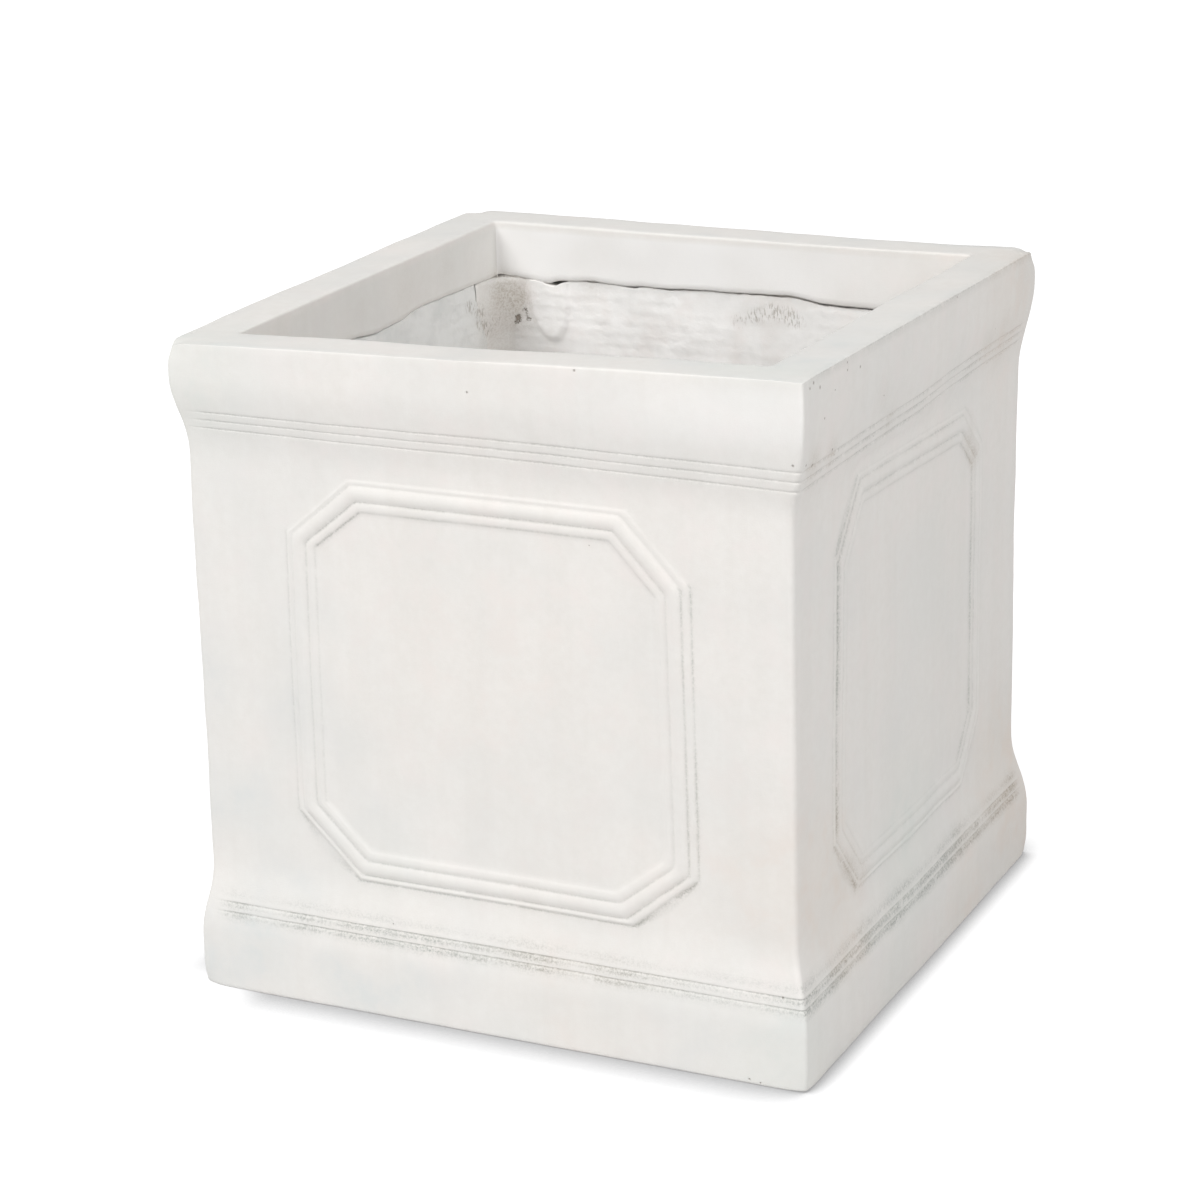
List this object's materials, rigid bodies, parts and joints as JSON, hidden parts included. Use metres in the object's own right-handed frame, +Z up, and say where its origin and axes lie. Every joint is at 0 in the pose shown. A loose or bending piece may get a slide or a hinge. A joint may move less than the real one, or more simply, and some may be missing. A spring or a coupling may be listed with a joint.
{
  "type": "square garden planter",
  "caption": "Square pale cast-stone planter: thick rim returned into the mouth, fine grooves round the rim and plinth bands, octagonal bead moulding on each side, plugged drain in the floor.",
  "frame": {"origin": "middle of the footprint, on the ground under the foot of the wall", "axes": "+Z up through the open mouth; -Y is the front wall and +X the right-hand wall, all four walls alike"},
  "size_m": [0.4, 0.4, 0.411],
  "materials": {
    "cast_stone": "chalky matte, warm white, faint grey patina in the mouldings",
    "slurry": "hand-smoothed, matte",
    "mesh_laminate": "rough slurry with the weave of glass mesh showing through",
    "plug_rubber": "matte"
  },
  "bodies": {
    "planter": {"cast_shell": "cast_stone", "rim_core": "slurry", "front_wall_laminate": "mesh_laminate", "right_wall_laminate": "mesh_laminate", "back_wall_laminate": "mesh_laminate", "left_wall_laminate": "mesh_laminate", "back_right_corner_fillet": "slurry", "back_left_corner_fillet": "slurry", "front_left_corner_fillet": "slurry", "front_right_corner_fillet": "slurry", "floor_slab": "cast_stone", "floor_laminate": "mesh_laminate"},
    "plug": {"drain_plug": "plug_rubber"}
  },
  "joints": [
    {"name": "drain_plug_lift", "type": "slide", "parent": "planter", "child": "plug", "axis": [0, 0, 1], "range_m": [0, 0.43]}
  ]
}
